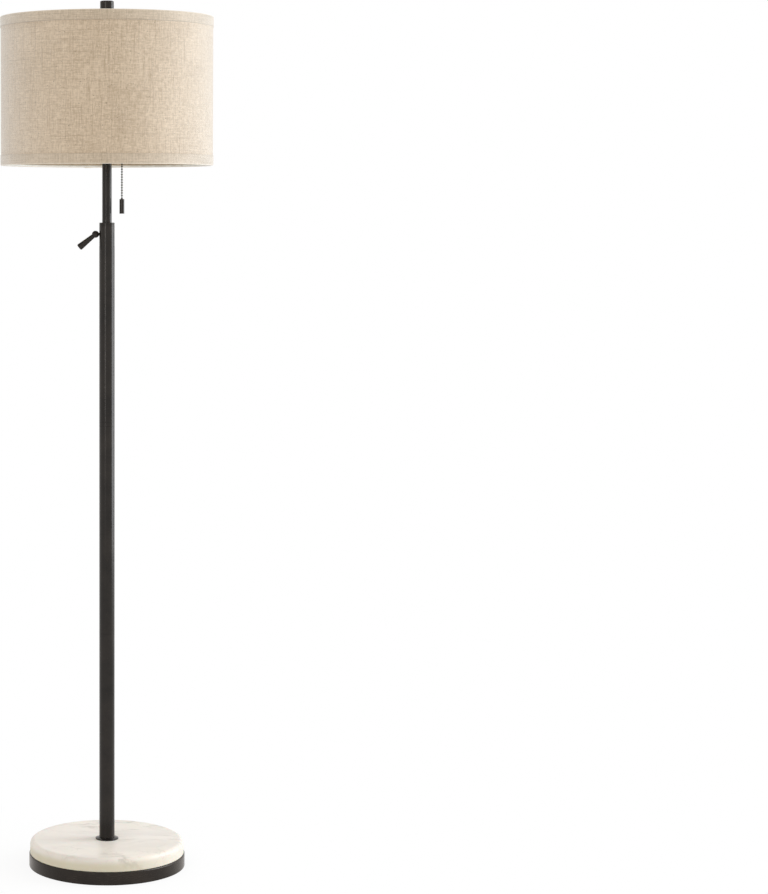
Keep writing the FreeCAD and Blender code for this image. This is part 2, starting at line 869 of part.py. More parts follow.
def switch_body():
    edge = switch_dia / 2
    outline = [(0, 0), (edge, 0), (edge, s.switch_height), (0, s.switch_height)]
    moulding = turned("switch_moulding", outline, (0, 0, switch_foot))
    entry = (spout_start, 0, spout_axis)
    tools = [cylinder("switch_spout_hole", spout_dia + fit, switch_dia, entry, (0, 1, 0), 90)]
    flat = edge - s.terminal_flat
    flat_height = s.terminal_head_dia + s.terminal_margin * 2
    flat_foot = terminal_height - flat_height / 2
    for side, start in (("front", -edge - s.terminal_flat), ("rear", flat)):
        corner = (-edge, start, flat_foot)
        tools.append(block(f"switch_{side}_flat", switch_dia, s.terminal_flat * 2, flat_height, corner))
    hole_start = (0, -edge, terminal_height)
    tools.append(
        cylinder("switch_screw_hole", s.terminal_shank_dia + fit, switch_dia, hole_start, (1, 0, 0), -90)
    )
    return cut("switch_body", moulding, *tools)


def terminal_screws():
    flat = switch_dia / 2 - s.terminal_flat
    screws = []
    for side, angle in (("front", 90), ("rear", -90)):
        head, shank = s.terminal_head_dia / 2, s.terminal_shank_dia / 2
        outline = [
            (0, -s.terminal_shank),
            (shank, -s.terminal_shank),
            (shank, 0),
            (head, 0),
            (head, s.terminal_head),
            (0, s.terminal_head),
        ]
        start = -flat if side == "front" else flat
        screws.append(turned(f"{side}_terminal", outline, (0, start, terminal_height), (1, 0, 0), angle))
    return grouped("terminal_screws", *screws)


def screw_shell():
    bore = s.cap_dia / 2 + s.screw_shell_gap
    outline = [
        (s.screw_shell_floor_hole / 2, 0),
        (bore + s.screw_shell_wall, 0),
        (bore + s.screw_shell_wall, s.screw_shell_height),
        (bore, s.screw_shell_height),
        (bore, s.screw_shell_wall),
        (s.screw_shell_floor_hole / 2, s.screw_shell_wall),
    ]
    return turned("screw_shell", outline, (0, 0, switch_top))


def centre_contact():
    edge = s.contact_dia / 2
    outline = [(0, 0), (edge, 0), (edge, s.contact_height), (0, s.contact_height)]
    contact = turned("centre_contact", outline, (0, 0, switch_top))
    return eased(contact, "Chamfer", s.contact_chamfer, [(edge, s.contact_height)])


# ---- bulb ----


def bulb_cap():
    edge, wall = s.cap_dia / 2, s.cap_wall
    outline = [
        (s.cap_floor_hole / 2, 0),
        (edge - s.cap_chamfer, 0),
        (edge, s.cap_chamfer),
        (edge, s.cap_height),
        (edge - wall, s.cap_height),
        (edge - wall, s.cap_chamfer + wall / 2),
        (edge - s.cap_chamfer - wall / 2, wall),
        (s.cap_floor_hole / 2, wall),
    ]
    return turned("bulb_cap", outline, (0, 0, cap_foot))


def bulb_contact():
    ring = s.cap_floor_hole / 2 - s.push_fit
    tip = s.tip_dia / 2
    roof = s.tip_drop + s.cap_wall
    outline = [(0, 0), (tip, 0), (ring, s.tip_drop), (ring, roof), (0, roof)]
    return turned("bulb_contact", outline, (0, 0, tip_foot))


def globe_line(dia, neck, centre):
    # the round top down to the shoulder, then a straight slope that meets the neck
    radius, shoulder = dia / 2, radians(-float(s.globe_shoulder_angle))
    half_way = (radians(90) + shoulder) / 2
    top = FreeCAD.Vector(0, 0, centre + radius)
    middle = FreeCAD.Vector(radius * cos(half_way), 0, centre + radius * sin(half_way))
    low = FreeCAD.Vector(radius * cos(shoulder), 0, centre + radius * sin(shoulder))
    slope = FreeCAD.Vector(sin(shoulder), 0, -cos(shoulder))
    return [top, middle, low, low + slope * ((low.x - neck) / -slope.x)]


def bulb_globe():
    # local Z = 0 at the foot of the bulb's cap
    wall, dia, neck = float(s.globe_wall), float(s.globe_dia), float(neck_dia) / 2
    foot = float(s.cap_height - s.globe_seat)
    centre = float(s.cap_height + s.globe_rise - s.globe_dia / 2)
    outer = globe_line(dia, neck, centre) + [FreeCAD.Vector(neck, 0, foot)]
    inner = globe_line(dia - wall * 2, neck - wall, centre) + [FreeCAD.Vector(neck - wall, 0, foot)]
    corners = outer[2:] + inner[:1:-1]
    edges = [Part.Arc(*outer[:3]).toShape()]
    edges += [Part.LineSegment(start, end).toShape() for start, end in zip(corners, corners[1:])]
    edges.append(Part.Arc(*inner[2::-1]).toShape())
    edges.append(Part.LineSegment(inner[0], outer[0]).toShape())
    glass = Part.Face(Part.Wire(edges)).revolve(FreeCAD.Vector(), FreeCAD.Vector(0, 0, 1), 360)
    return solid_feature("bulb_globe", glass, (0, 0, cap_foot))


# ---- bent wires ----


def rounded_path(points, radius):
    # straight runs joined by tangent arcs of one radius
    edges, start = [], points[0]
    for before, corner, after in zip(points, points[1:], points[2:]):
        inward = (before - corner).normalize()
        outward = (after - corner).normalize()
        half_turn = inward.getAngle(outward) / 2
        setback = radius / tan(half_turn)
        first, last = corner + inward * setback, corner + outward * setback
        bisector = (inward + outward).normalize()
        middle = corner + bisector * (radius / sin(half_turn) - radius)
        edges.append(Part.LineSegment(start, first).toShape())
        edges.append(Part.Arc(first, middle, last).toShape())
        start = last
    edges.append(Part.LineSegment(start, points[-1]).toShape())
    return Part.Wire(edges)


def swept(path, dia):
    start = path.Edges[0]
    direction = start.tangentAt(start.FirstParameter)
    ring = Part.Wire(Part.makeCircle(float(dia) / 2, start.valueAt(start.FirstParameter), direction))
    return path.makePipeShell([ring], True, False)


def harp():
    # local frame: centred on the pole, Z = 0 at the feet; the legs stand in the YZ plane
    leg_y, side_y = float(harp_leg_reach), float(s.harp_width) / 2 - float(s.harp_wire) / 2
    leg_z, swell_z = float(s.harp_leg), float(s.harp_swell)
    shoulder_z, crest_z = swell_z + float(s.harp_straight), float(s.harp_height)
    top_y = float(s.harp_top) / 2
    half = [(leg_y, 0), (leg_y, leg_z), (side_y, swell_z), (side_y, shoulder_z), (top_y, crest_z)]
    outline = half + [(-y, z) for y, z in reversed(half)]
    points = [FreeCAD.Vector(0, y, z) for y, z in outline]
    wire = swept(rounded_path(points, float(s.harp_bend)), s.harp_wire)
    return solid_feature("harp", wire, (0, 0, harp_foot))


def harp_sleeve(label, side):
    # a flat tube round the saddle's tab and the harp's leg; it lifts to free the leg
    gap, wall = s.sleeve_gap, s.sleeve_wall
    near = s.saddle_span / 2 - s.saddle_thickness - gap
    far = harp_leg_reach + s.harp_wire / 2 + gap
    half = s.tab_width / 2 + gap
    foot = saddle_top + gap
    outer_y = near - wall if side > 0 else -far - wall
    inner_y = near if side > 0 else -far
    depth = far - near
    outer_corner = (-half - wall, outer_y, foot)
    inner_corner = (-half, inner_y, foot - past)
    outer = block(label + "_outer", half * 2 + wall * 2, depth + wall * 2, s.sleeve_height, outer_corner)
    inner = block(label + "_inner", half * 2, depth, s.sleeve_height + past * 2, inner_corner)
    return cut(label, outer, inner)


def harp_crown():
    # a round block pierced by the harp's top, with the threaded stud on it
    foot = harp_crest - s.harp_wire / 2 - s.crown_skirt
    head = cylinder("crown_head", s.crown_dia, crown_roof - foot, (0, 0, foot))
    stud_length = s.hub_thickness + s.harp_stud_rise
    stud = cylinder("crown_stud", s.harp_stud_dia, stud_length, (0, 0, crown_roof))
    blank = fused("crown_blank", head, stud)
    bore_start = (0, -s.crown_dia, harp_crest)
    bore = cylinder("crown_bore", s.harp_wire + fit, s.crown_dia * 2, bore_start, (1, 0, 0), -90)
    return cut("harp_crown", blank, bore)


# ---- pull chain, hanging at x = chain_reach ----


def chain_spout():
    reach, bend = float(chain_reach), float(s.spout_bend)
    start, drop = float(spout_start), float(s.spout_drop)
    points = [
        FreeCAD.Vector(start, 0, 0),
        FreeCAD.Vector(reach, 0, 0),
        FreeCAD.Vector(reach, 0, -bend - drop),
    ]
    path = rounded_path(points, bend)
    spout = swept(path, spout_dia).cut(swept(path, spout_bore))
    return solid_feature("chain_spout", spout, (0, 0, spout_axis))


def beads(label, count, top_link, at):
    # one turned outline: bead after bead down the local Z axis, each on a thin link; the first bead's
    # centre is one pitch below zero, or at zero where there is no link above it
    bead, link, pitch = float(s.bead_dia) / 2, float(s.link_dia) / 2, float(bead_pitch)
    rise = (bead * bead - link * link) ** 0.5
    centre = -pitch if top_link else 0.0
    top = -(bead + float(s.chain_gap)) if top_link else bead
    cursor = FreeCAD.Vector(0, 0, top)
    edges = []
    if top_link:
        corner = FreeCAD.Vector(link, 0, top)
        edges.append(Part.LineSegment(cursor, corner).toShape())
        cursor = corner
    for number in range(count):
        last = number == count - 1
        if top_link or number:
            high = FreeCAD.Vector(link, 0, centre + rise)
            edges.append(Part.LineSegment(cursor, high).toShape())
            cursor = high
        low = FreeCAD.Vector(0, 0, centre - bead) if last else FreeCAD.Vector(link, 0, centre - rise)
        edges.append(Part.Arc(cursor, FreeCAD.Vector(bead, 0, centre), low).toShape())
        cursor = low
        centre -= pitch
    edges.append(Part.LineSegment(cursor, FreeCAD.Vector(0, 0, top)).toShape())
    strand = Part.Face(Part.Wire(edges)).revolve(FreeCAD.Vector(), FreeCAD.Vector(0, 0, 1), 360)
    return solid_feature(label, strand, at)


def pull_weight():
    # local Z = 0 at the weight's top; a round seat there takes the chain's last bead
    edge, bore = s.pull_dia / 2, s.bead_dia / 2 + s.pull_bore_room
    hole, roof = s.link_dia / 2 + s.pull_hole_room, s.link_length + s.pull_seat_depth
    outline = [
        (hole, 0),
        (edge, 0),
        (edge, -s.pull_length),
        (bore, -s.pull_length),
        (bore, -roof),
        (hole, -roof),
    ]
    blank = turned("pull_turning", outline, (chain_reach, 0, pull_top))
    eased(blank, "Fillet", s.pull_round, [(edge, 0)])
    seat = sphere("pull_seat", s.bead_dia + s.chain_gap * 2, (chain_reach, 0, pull_pivot))
    return cut("pull_weight", blank, seat)


# ---- shade ----


def wire_ring(label, height):
    ring = doc.addObject("Part::Torus", label)
    ring.Label = label
    ring.Radius1 = float(ring_dia) / 2
    bind(ring, "Radius1", ring_dia / 2)
    ring.Radius2 = float(s.ring_wire) / 2
    bind(ring, "Radius2", s.ring_wire / 2)
    return place(ring, (0, 0, height))


def spider(top_ring, hub):
    # straight arms from the hub's edge up to the ring, trimmed where they meet both
    start, end = float(hub_dia - s.arm_dia) / 2, float(ring_dia) / 2
    rise = float(shade_top - s.ring_inset) - float(hub_top - s.hub_thickness / 2)
    arms = []
    count = int(s.arm_count)
    for number in range(count):
        heading = radians(90 + number * 360 / count)
        low = FreeCAD.Vector(start * cos(heading), start * sin(heading), 0)
        high = FreeCAD.Vector(end * cos(heading), end * sin(heading), rise)
        along = high - low
        arms.append(Part.makeCylinder(float(s.arm_dia) / 2, along.Length, low, along))
    rods = solid_feature("spider_rods", Part.makeCompound(arms), (0, 0, hub_top - s.hub_thickness / 2))
    return cut("spider_arms", rods, top_ring, hub)


def trim(label, edge_height, inward):
    # inward is 1 for the lower trim, whose band rises from the edge, and -1 for the upper one
    outer = s.shade_dia / 2
    inner = outer - s.trim_thickness
    fold_outer = fold_dia / 2
    fold_inner = fold_outer - s.fold_thickness
    outline = [
        (fold_inner, 0),
        (outer, 0),
        (outer, s.trim_height * inward),
        (inner, s.trim_height * inward),
        (inner, s.fold_thickness * inward),
        (fold_outer, s.fold_thickness * inward),
        (fold_outer, s.fold_height * inward),
        (fold_inner, s.fold_height * inward),
    ]
    return turned(label, outline, (0, 0, edge_height))


def shade_skin(label, outer, thickness):
    foot = shade_foot + s.fold_thickness + s.glue_gap
    length = s.shade_height - s.fold_thickness * 2 - s.glue_gap * 2
    return pipe(label, outer, outer - thickness * 2, length, (0, 0, foot))


def finial():
    edge, bore = s.finial_dia / 2, s.harp_stud_dia / 2 + s.thread_gap
    depth = s.harp_stud_rise + s.finial_bore_room
    outline = [
        (bore, 0),
        (edge, 0),
        (edge, s.finial_height),
        (0, s.finial_height),
        (0, depth),
        (bore, depth),
    ]
    knob = turned("finial", outline, (0, 0, hub_top))
    eased(knob, "Chamfer", s.finial_chamfer, [(edge, s.finial_height)])
    return knob


# ---- the assembly ----

piece(base_pad())
piece(base_pan())
piece(base_weight())
piece(cord_grommet())
piece(marble_disc())
piece(foot_flange())
foot_fastening()
outer_pole()
piece(clamp_collar())
guide_bushes()
piece(clamp_pad())
piece(clamp_screw())
piece(lever_pin())
piece(lever_handle())
piece(foot_bush())
piece(inner_tube())
piece(neck_fitting())
piece(harp_saddle())
piece(socket_nipple())
piece(hexagon_nut("saddle_nut", s.thin_nut_across, s.thin_nut_height, nipple_thread, (0, 0, saddle_top)))
piece(socket_cup())
piece(socket_shell())
piece(socket_liner())
piece(switch_body())
piece(terminal_screws())
piece(screw_shell())
piece(centre_contact())
piece(bulb_cap())
piece(bulb_contact())
piece(bulb_globe())
piece(chain_spout())
piece(beads("chain_stub", int(s.stub_bead_count), False, (chain_reach, 0, stub_top)))
piece(beads("pull_chain", int(s.chain_bead_count), True, (chain_reach, 0, chain_pivot)))
piece(beads("chain_end_bead", 1, True, (chain_reach, 0, pull_pivot)))
piece(pull_weight())
piece(harp())
piece(harp_crown())
piece(harp_sleeve("front_sleeve", -1))
piece(harp_sleeve("rear_sleeve", 1))
top_ring = piece(wire_ring("top_ring", shade_top - s.ring_inset))
piece(wire_ring("bottom_ring", shade_foot + s.ring_inset))
hub_hole = s.harp_stud_dia + s.thread_gap * 2
hub = piece(pipe("spider_hub", hub_dia, hub_hole, s.hub_thickness, (0, 0, crown_roof)))
piece(spider(top_ring, hub))
piece(shade_skin("shade_lining", lining_dia, s.lining_thickness))
piece(shade_skin("linen_panel", panel_dia, s.linen_thickness))
piece(trim("lower_trim", shade_foot, 1))
piece(trim("upper_trim", shade_top, -1))
piece(finial())
doc.recompute()

for item in doc.Objects:
    if "Invalid" in item.State or "Error" in item.State:
        raise RuntimeError(f"{item.Label} did not compute: {item.State}")
for item in pieces:
    if item.Shape.isNull() or not item.Shape.isValid() or not item.Shape.Solids:
        raise RuntimeError(f"{item.Label} has no valid solid")

os.makedirs("parts", exist_ok=True)
for item in pieces:
    item.Shape.exportStep(f"parts/{item.Label}.step")
    box = item.Shape.BoundBox
    print(f"{item.Label:18s} solids {len(item.Shape.Solids)}  z {box.ZMin:9.2f} {box.ZMax:9.2f}")
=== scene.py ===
import math
import bpy
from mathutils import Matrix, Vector


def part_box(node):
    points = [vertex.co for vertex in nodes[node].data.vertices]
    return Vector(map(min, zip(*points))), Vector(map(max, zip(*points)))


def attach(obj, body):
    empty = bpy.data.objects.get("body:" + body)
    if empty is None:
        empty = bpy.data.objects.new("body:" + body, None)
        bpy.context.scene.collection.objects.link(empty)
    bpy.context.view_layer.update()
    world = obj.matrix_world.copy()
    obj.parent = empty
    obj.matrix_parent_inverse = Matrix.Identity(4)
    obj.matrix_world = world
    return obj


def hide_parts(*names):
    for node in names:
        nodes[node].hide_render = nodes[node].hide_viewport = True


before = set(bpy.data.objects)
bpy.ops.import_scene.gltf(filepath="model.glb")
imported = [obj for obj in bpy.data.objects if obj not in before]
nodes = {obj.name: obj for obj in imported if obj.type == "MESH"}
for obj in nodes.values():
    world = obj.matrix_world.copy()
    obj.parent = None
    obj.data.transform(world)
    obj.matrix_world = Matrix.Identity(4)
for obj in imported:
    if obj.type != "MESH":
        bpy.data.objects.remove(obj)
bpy.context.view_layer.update()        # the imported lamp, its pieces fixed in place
print("frame:", len(nodes), "CAD nodes")

# Telescopic floor lamp: marble and bronze foot, bronze pole with a clamp lever, linen drum shade.
# Metres, +Z up, the pole's axis is the Z axis and the front is -Y.


# small helpers for meshes and node trees

def deselectAll():
    if bpy.context.mode != "OBJECT":
        bpy.ops.object.mode_set(mode="OBJECT")
    bpy.ops.object.select_all(action="DESELECT")


def settle(piece):  # the object goes to the origin, its place stays in its mesh
    deselectAll()
    piece.select_set(True)
    bpy.context.view_layer.objects.active = piece
    bpy.ops.object.transform_apply(location=True, rotation=True, scale=True)


def addModifier(piece, kind, **settings):
    deselectAll()
    piece.select_set(True)
    bpy.context.view_layer.objects.active = piece
    modifier = piece.modifiers.new(kind.title(), kind)
    for setting, value in settings.items():
        setattr(modifier, setting, value)
    bpy.ops.object.modifier_apply(modifier=modifier.name)


def newMaterial(name, **sockets):
    material = bpy.data.materials.new(name)
    material.use_nodes = True
    tree = material.node_tree
    shader = tree.nodes["Principled BSDF"]
    for socket, value in sockets.items():
        shader.inputs[socket.replace("_", " ")].default_value = value
    return material, tree, shader


def node(tree, kind, inputs=None, **settings):
    made = tree.nodes.new("ShaderNode" + kind)
    for setting, value in settings.items():
        setattr(made, setting, value)
    for socket, value in (inputs or {}).items():
        if isinstance(value, bpy.types.NodeSocket):
            tree.links.new(value, made.inputs[socket])
        else:
            made.inputs[socket].default_value = value
    return made


def objectPoint(tree, scale=(1, 1, 1)):
    coords = node(tree, "TexCoord").outputs["Object"]
    return node(tree, "Mapping", {"Vector": coords, "Scale": scale}).outputs[0]


def objectAxes(tree):
    coords = node(tree, "TexCoord").outputs["Object"]
    return node(tree, "SeparateXYZ", {"Vector": coords}).outputs


def clothPoint(tree, shift=(0, 0, 0)):
    coords = node(tree, "UVMap", uv_map="cloth").outputs[0]
    return node(tree, "Mapping", {"Vector": coords, "Location": shift}).outputs[0]


def wander(tree, point, scale, detail, reach):  # the point, moved to any side by up to half the reach
    drift = node(tree, "TexNoise", {"Vector": point, "Scale": scale, "Detail": detail}).outputs["Color"]
    drift = node(tree, "VectorMath", {0: drift, 1: (0.5, 0.5, 0.5)}, operation="SUBTRACT").outputs[0]
    drift = node(tree, "VectorMath", {0: drift, "Scale": reach}, operation="SCALE").outputs[0]
    return node(tree, "VectorMath", {0: point, 1: drift}, operation="ADD").outputs[0]


def noise(tree, point, scale, detail=2.0, roughness=0.5, distortion=0.0, dimensions="3D"):
    inputs = {"Vector": point, "Scale": scale, "Detail": detail, "Roughness": roughness,
              "Distortion": distortion}
    return node(tree, "TexNoise", inputs, noise_dimensions=dimensions).outputs[0]


def spread(tree, value, low, high, toLow=0.0, toHigh=1.0, smooth=False):
    inputs = {"Value": value, "From Min": low, "From Max": high, "To Min": toLow, "To Max": toHigh}
    kind = "SMOOTHSTEP" if smooth else "LINEAR"
    return node(tree, "MapRange", inputs, interpolation_type=kind).outputs[0]


def maths(tree, operation, first, second=0.0):
    return node(tree, "Math", {0: first, 1: second}, operation=operation).outputs[0]


def distance(tree, first, second):
    return maths(tree, "ABSOLUTE", maths(tree, "SUBTRACT", first, second))


def blend(tree, factor, first, second, mode="MIX"):
    inputs = {0: factor, 6: first, 7: second}
    return node(tree, "Mix", inputs, data_type="RGBA", blend_type=mode).outputs[2]


def relief(tree, height, depth, strength=1.0, under=None):
    inputs = {"Height": height, "Distance": depth, "Strength": strength}
    if under is not None:
        inputs["Normal"] = under
    return node(tree, "Bump", inputs).outputs[0]


def plug(tree, shader, **sources):
    for socket, source in sources.items():
        tree.links.new(source, shader.inputs[socket.replace("_", " ")])


def colour(red, green, blue):
    return (red, green, blue, 1.0)


# metals

bronze = {
    "deep": colour(0.0100, 0.0088, 0.0080),
    "warm": colour(0.0215, 0.0180, 0.0152),
    "rubbed": colour(0.060, 0.043, 0.030),
    "metallic": 0.25,
    "specular": 0.34,
    "roughness": (0.17, 0.27),
    "peel": 0.00003,
}


def makeBronze(name, polish=0.0, grain=(1, 1, 0.08), tint=(1.0, 0.95, 0.91)):  # drawn grain runs along Z
    material, tree, shader = newMaterial(name, Metallic=bronze["metallic"], Specular_Tint=colour(*tint),
                                         Specular_IOR_Level=bronze["specular"])
    point = objectPoint(tree)
    drawn = noise(tree, objectPoint(tree, scale=grain), 620, detail=3)
    cloud = noise(tree, point, 22, detail=4, roughness=0.6)
    speck = spread(tree, noise(tree, point, 420, detail=2, roughness=0.7), 0.66, 0.74)
    tone = blend(tree, spread(tree, cloud, 0.35, 0.65), bronze["deep"], bronze["warm"])
    tone = blend(tree, maths(tree, "MULTIPLY", speck, 0.35), tone, bronze["rubbed"])
    low, high = bronze["roughness"]
    uneven = maths(tree, "ADD", maths(tree, "MULTIPLY", drawn, 0.6), maths(tree, "MULTIPLY", cloud, 0.4))
    rough = spread(tree, uneven, 0.3, 0.7, low - polish, high - polish)
    peel = noise(tree, point, 900, detail=1)
    normal = relief(tree, peel, bronze["peel"], 0.6, relief(tree, drawn, bronze["peel"] * 0.6, 0.5))
    plug(tree, shader, Base_Color=tone, Roughness=rough, Normal=normal)
    return material


antiqueBrass = {
    "bright": colour(0.050, 0.036, 0.023),
    "dark": colour(0.016, 0.012, 0.009),
    "pit": 0.00002,
}


def makeAntiqueBrass():
    material, tree, shader = newMaterial("antiqueBrass", Metallic=1.0)
    point = objectPoint(tree)
    stain = spread(tree, noise(tree, point, 380, detail=4, roughness=0.65), 0.38, 0.62)
    tone = blend(tree, stain, antiqueBrass["dark"], antiqueBrass["bright"])
    normal = relief(tree, noise(tree, point, 2600, detail=2), antiqueBrass["pit"], 0.7)
    plug(tree, shader, Base_Color=tone, Roughness=spread(tree, stain, 0, 1, 0.42, 0.24), Normal=normal)
    return material


bareMetals = {               # light and stained colour of each, and the threads' pitches
    "brass": (colour(0.75, 0.56, 0.24), colour(0.55, 0.36, 0.14)),
    "steel": (colour(0.62, 0.62, 0.60), colour(0.48, 0.48, 0.47)),
    "aluminium": (colour(0.80, 0.80, 0.80), colour(0.66, 0.66, 0.66)),
    "lampThread": 0.0036,
    "studThread": 0.001,
}


def makeBareMetal(name, light, dark, rough, thread=0.0):  # thread is its pitch
    material, tree, shader = newMaterial(name, Metallic=1.0)
    point = objectPoint(tree)
    lay = noise(tree, point, 900, detail=3)
    stain = spread(tree, noise(tree, point, 130, detail=4, roughness=0.6), 0.35, 0.7)
    tone = blend(tree, stain, light, dark)
    normal = relief(tree, lay, 0.00002, 0.6)
    if thread:
        axes = objectAxes(tree)
        turned = maths(tree, "DIVIDE", maths(tree, "ARCTAN2", axes["Y"], axes["X"]), 2 * math.pi)
        climb = maths(tree, "ADD", maths(tree, "DIVIDE", axes["Z"], thread), turned)
        ridge = maths(tree, "PINGPONG", climb, 0.5)
        normal = relief(tree, ridge, thread * 0.9, 0.9, normal)
    plug(tree, shader, Base_Color=tone, Roughness=spread(tree, lay, 0.3, 0.7, rough * 0.8, rough * 1.25),
         Normal=normal)
    return material


whiteWire = {"clean": colour(0.78, 0.76, 0.71), "dusty": colour(0.62, 0.59, 0.53)}


def makeWhiteWire():
    material, tree, shader = newMaterial("whiteWire", Coat_Weight=0.3, Coat_Roughness=0.2)
    point = objectPoint(tree)
    dust = noise(tree, point, 90, detail=4)
    drips = noise(tree, objectPoint(tree, scale=(1, 1, 0.35)), 520, detail=2)
    tone = blend(tree, spread(tree, dust, 0.45, 0.7), whiteWire["clean"], whiteWire["dusty"])
    plug(tree, shader, Base_Color=tone, Roughness=spread(tree, dust, 0.3, 0.7, 0.3, 0.5),
         Normal=relief(tree, drips, 0.0001, 0.5))
    return material


castIron = {"paint": colour(0.045, 0.045, 0.047), "rust": colour(0.12, 0.06, 0.03)}


def makeCastIron():
    material, tree, shader = newMaterial("castIron", Metallic=0.2)
    point = objectPoint(tree)
    sand = noise(tree, point, 650, detail=5, roughness=0.7)
    bare = spread(tree, noise(tree, point, 45, detail=5, roughness=0.7), 0.6, 0.72)
    plug(tree, shader, Base_Color=blend(tree, bare, castIron["paint"], castIron["rust"]),
         Roughness=spread(tree, sand, 0.3, 0.7, 0.55, 0.85), Normal=relief(tree, sand, 0.0005, 0.8))
    return material


# stone, glass, plastics

marble = {
    "body": colour(0.80, 0.750, 0.695),
    "warm": colour(0.80, 0.735, 0.655),
    "cloud": colour(0.66, 0.610, 0.560),
    "vein": colour(0.44, 0.400, 0.35),
    # edge is the colour of the painted shade on the side face
    "edge": colour(0.61, 0.555, 0.410),
    "roughness": (0.34, 0.44),
    "flow": 0.5,                      # the angle that the clouds and veins run at
    "sideShadeHeights": (0.0415, 0.0300),          # heights where the painted side shade starts and is full
    "sideShadeAcross": (0.0, 0.11),         # from the middle to the lamp-lit right edge the painted shade grows weaker
    "sideShadeShare": (0.85, 0.30),
}


def makeMarble():
    material, tree, shader = newMaterial("marble", Subsurface_Weight=0.12, Subsurface_Scale=0.004,
                                         Specular_IOR_Level=0.3)
    point = objectPoint(tree)
    bent = wander(tree, point, 7.0, 4.0, 0.09)
    # soft clouds, long in one direction
    laid = node(tree, "Mapping", {"Vector": bent, "Rotation": (0, 0, marble["flow"]),
                                  "Scale": (1, 2.6, 1)}).outputs[0]
    clouds = spread(tree, noise(tree, laid, 9, detail=5, roughness=0.55), 0.42, 0.72, smooth=True)
    warmth = spread(tree, noise(tree, point, 5, detail=2), 0.35, 0.65)
    # veins are the thin places where a bent noise crosses its middle value
    crossing = distance(tree, noise(tree, laid, 6, detail=6, roughness=0.6), 0.5)
    vein = maths(tree, "MULTIPLY", spread(tree, crossing, 0.0, 0.035, 1.0, 0.0, smooth=True),
                 spread(tree, noise(tree, point, 11, detail=2), 0.42, 0.62))
    hair = distance(tree, noise(tree, bent, 19, detail=4), 0.5)
    hair = maths(tree, "MULTIPLY", spread(tree, hair, 0.0, 0.012, 1.0, 0.0),
                 spread(tree, noise(tree, point, 15, detail=1), 0.5, 0.65))
    tone = blend(tree, warmth, marble["body"], marble["warm"])
    tone = blend(tree, maths(tree, "MULTIPLY", clouds, 0.55), tone, marble["cloud"])
    tone = blend(tree, maths(tree, "MULTIPLY", vein, 0.55), tone, marble["vein"])
    tone = blend(tree, maths(tree, "MULTIPLY", hair, 0.3), tone, marble["vein"])
    # painted shade: the side face is darker and yellower than the top, least on the lamp-lit right
    axes = objectAxes(tree)
    cream = maths(tree, "MULTIPLY", spread(tree, axes["Z"], *marble["sideShadeHeights"], smooth=True),
                  spread(tree, axes["X"], *marble["sideShadeAcross"], *marble["sideShadeShare"]))
    tone = blend(tree, cream, tone, marble["edge"])
    grain = noise(tree, point, 1800, detail=3)
    tone = blend(tree, spread(tree, grain, 0.35, 0.65, 0.0, 0.06), tone, marble["cloud"])
    low, high = marble["roughness"]
    plug(tree, shader, Base_Color=tone, Roughness=spread(tree, grain, 0.3, 0.7, low, high),
         Normal=relief(tree, noise(tree, point, 60, detail=2), 0.00005, 0.4))
    return material


opalGlass = {"white": colour(0.88, 0.88, 0.865), "shade": colour(0.80, 0.80, 0.785)}


def makeOpalGlass():
    material, tree, shader = newMaterial("opalGlass", Subsurface_Weight=0.25, Subsurface_Scale=0.002,
                                         Coat_Weight=0.5, Coat_Roughness=0.06)
    point = objectPoint(tree)
    powder = noise(tree, point, 1400, detail=3)
    swirl = noise(tree, point, 30, detail=3)
    tone = blend(tree, spread(tree, swirl, 0.35, 0.7), opalGlass["white"], opalGlass["shade"])
    plug(tree, shader, Base_Color=tone, Roughness=spread(tree, powder, 0.3, 0.7, 0.28, 0.42),
         Normal=relief(tree, powder, 0.00001, 0.5))
    return material


plastics = {                 # two colours, roughness, fineness of the grit and its depth
    "nylon": (colour(0.035, 0.035, 0.036), colour(0.045, 0.045, 0.046), 0.5, 900, 0.00003),
    "moulding": (colour(0.024, 0.022, 0.021), colour(0.034, 0.032, 0.03), 0.34, 500, 0.00002),
    "rubber": (colour(0.022, 0.022, 0.022), colour(0.035, 0.034, 0.033), 0.75, 1300, 0.00005),
    "linerCard": (colour(0.10, 0.085, 0.07), colour(0.075, 0.06, 0.05), 0.8, 700, 0.0001),
}


def makePlastic(name):       # moulded parts, rubber and card
    light, dark, rough, grit, depth = plastics[name]
    material, tree, shader = newMaterial(name)
    point = objectPoint(tree)
    spark = noise(tree, point, grit, detail=3, roughness=0.6)
    patch = noise(tree, point, 40, detail=3)
    plug(tree, shader, Base_Color=blend(tree, spread(tree, patch, 0.3, 0.7), light, dark),
         Roughness=spread(tree, spark, 0.3, 0.7, rough - 0.08, rough + 0.08),
         Normal=relief(tree, spark, depth, 0.7))
    return material


feltPad = {"dark": colour(0.018, 0.018, 0.019), "light": colour(0.05, 0.05, 0.052)}


def makeFelt():
    material, tree, shader = newMaterial("felt", Sheen_Weight=0.4, Sheen_Roughness=0.5)
    point = objectPoint(tree)
    fibres = noise(tree, point, 1500, detail=5, roughness=0.75, distortion=1.5)
    tufts = noise(tree, point, 240, detail=3)
    tone = blend(tree, spread(tree, fibres, 0.35, 0.65), feltPad["dark"], feltPad["light"])
    plug(tree, shader, Base_Color=tone, Roughness=spread(tree, fibres, 0.3, 0.7, 0.85, 1.0),
         Normal=relief(tree, fibres, 0.0004, 0.9, relief(tree, tufts, 0.0003, 0.5)))
    return material


# cloth

